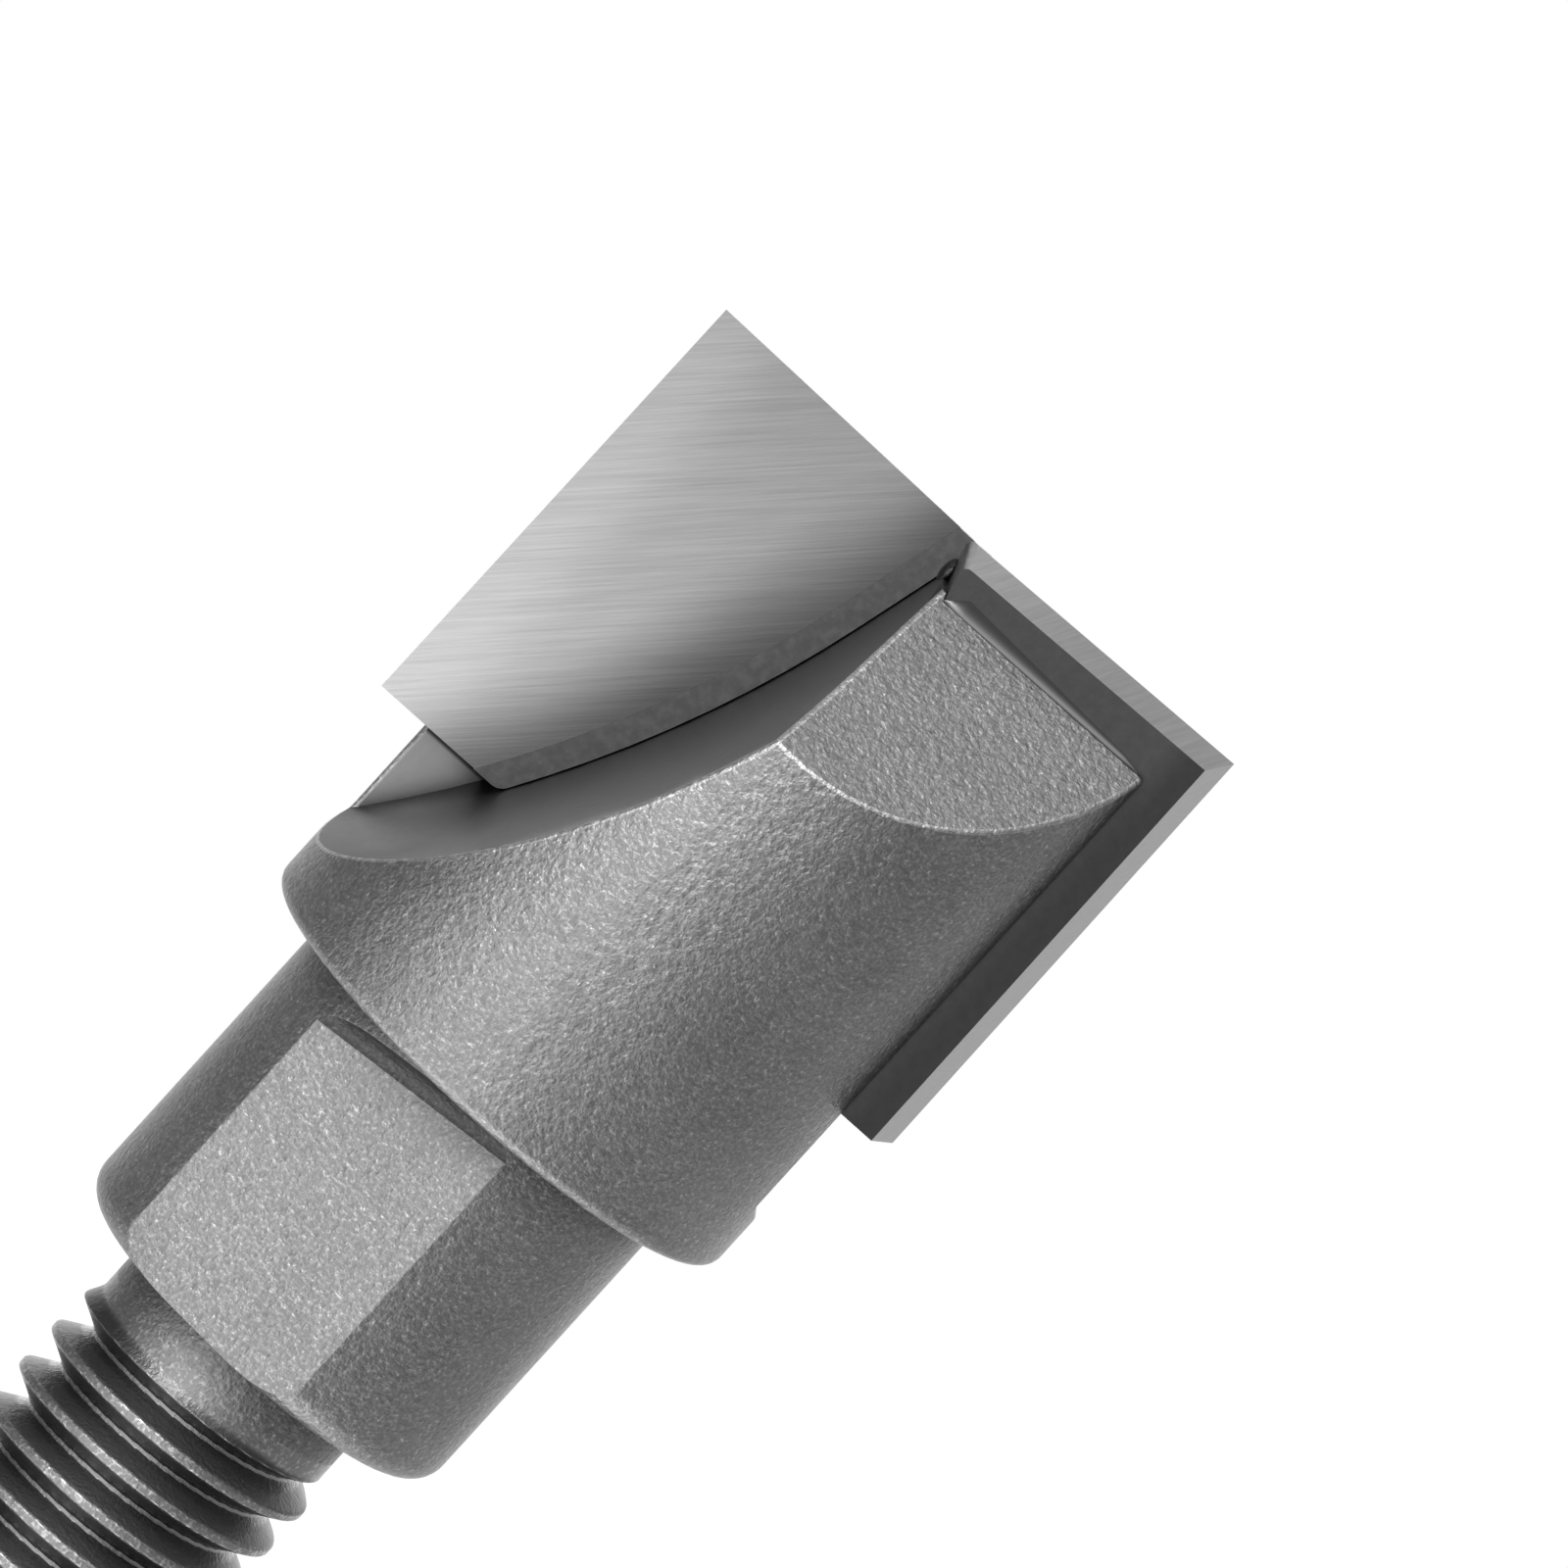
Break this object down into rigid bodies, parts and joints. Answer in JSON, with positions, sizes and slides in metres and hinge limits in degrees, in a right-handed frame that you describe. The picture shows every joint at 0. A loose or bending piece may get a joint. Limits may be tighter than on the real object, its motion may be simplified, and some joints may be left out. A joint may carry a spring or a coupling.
{
  "type": "surfacing router bit",
  "caption": "Surfacing router bit: square carbide plates brazed across the gullets of a blasted steel head, with a flatted wrench collar and a threaded mounting stud.",
  "frame": {"origin": "centre of the stud's end face, on the turning axis, where the bit stands", "axes": "+Z along the turning axis towards the cutting end, +X across the plates towards tip b's side edge, -Y the way tip a's rake face looks"},
  "size_m": [0.0176, 0.0148, 0.038],
  "materials": {
    "blasted_steel": "bead blasted, satin",
    "ground_carbide": "ground, fine scratches"
  },
  "bodies": {
    "root": {"cutter_body": "blasted_steel", "carbide_tip_a": "ground_carbide", "carbide_tip_b": "ground_carbide"}
  },
  "joints": []
}
